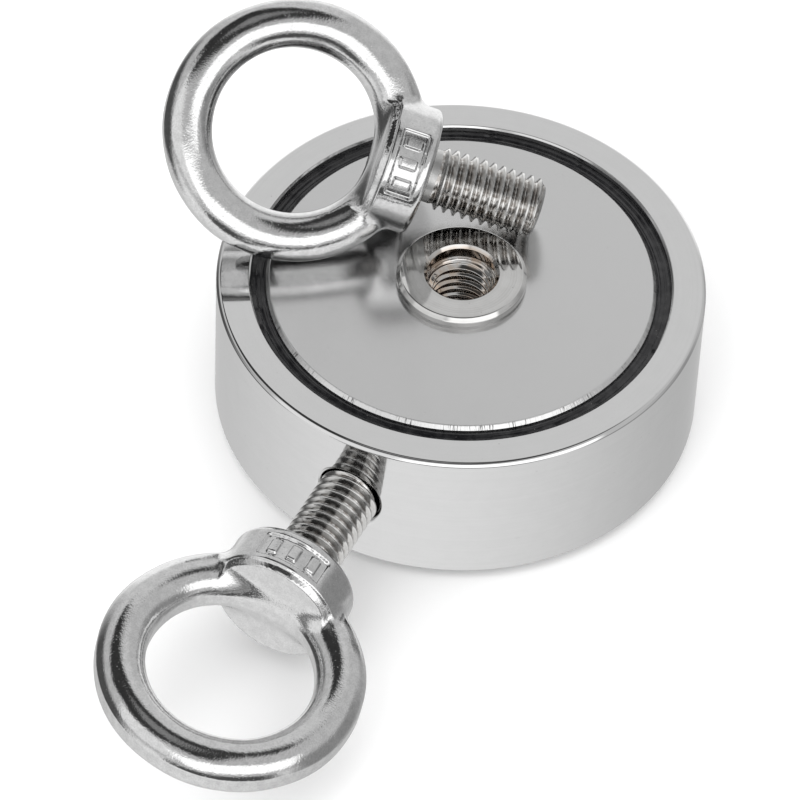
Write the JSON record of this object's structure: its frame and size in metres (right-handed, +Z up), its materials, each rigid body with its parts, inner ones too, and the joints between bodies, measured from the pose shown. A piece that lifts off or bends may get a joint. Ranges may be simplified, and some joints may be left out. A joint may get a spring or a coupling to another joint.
{
  "type": "fishing magnet",
  "caption": "Round two-sided pot magnet with threaded bushes in its faces, an eyebolt started in its side hole and a loose eyebolt lying on top.",
  "frame": {"origin": "on the pot's axis, at the plane where the upper bush's threaded wall begins, 2.5 mm under the bush's face", "axes": "+Z up the pot's axis, out of the upper bush; the side hole and the eyebolt in it point along -Y"},
  "size_m": [0.0871, 0.1331, 0.0566],
  "materials": {
    "pot_nickel": "bright nickel plate",
    "magnet_nickel": "satin nickel plate",
    "bush_nickel": "bright nickel plate",
    "potting": "glossy black potting resin",
    "adhesive": "cured adhesive film",
    "eyebolt_steel": "polished forged stainless steel"
  },
  "bodies": {
    "pot": {"steel_pot": "pot_nickel", "upper_magnet": "magnet_nickel", "upper_adhesive_film": "adhesive", "upper_seal_ring": "potting", "upper_bore_potting": "potting", "upper_bush": "bush_nickel", "lower_magnet": "magnet_nickel", "lower_adhesive_film": "adhesive", "lower_seal_ring": "potting", "lower_bore_potting": "potting", "lower_bush": "bush_nickel"},
    "side_eyebolt": {"side_eyebolt": "eyebolt_steel"},
    "loose_eyebolt": {"loose_eyebolt": "eyebolt_steel"}
  },
  "joints": [
    {"name": "side_eyebolt_screw", "type": "slide", "parent": "pot", "child": "side_eyebolt", "axis": [0, 1, 0], "range_m": [-0.0015, 0.0165]},
    {"name": "loose_eyebolt_lift", "type": "slide", "parent": "pot", "child": "loose_eyebolt", "axis": [0, 0, 1], "range_m": [0, 0.06]}
  ]
}
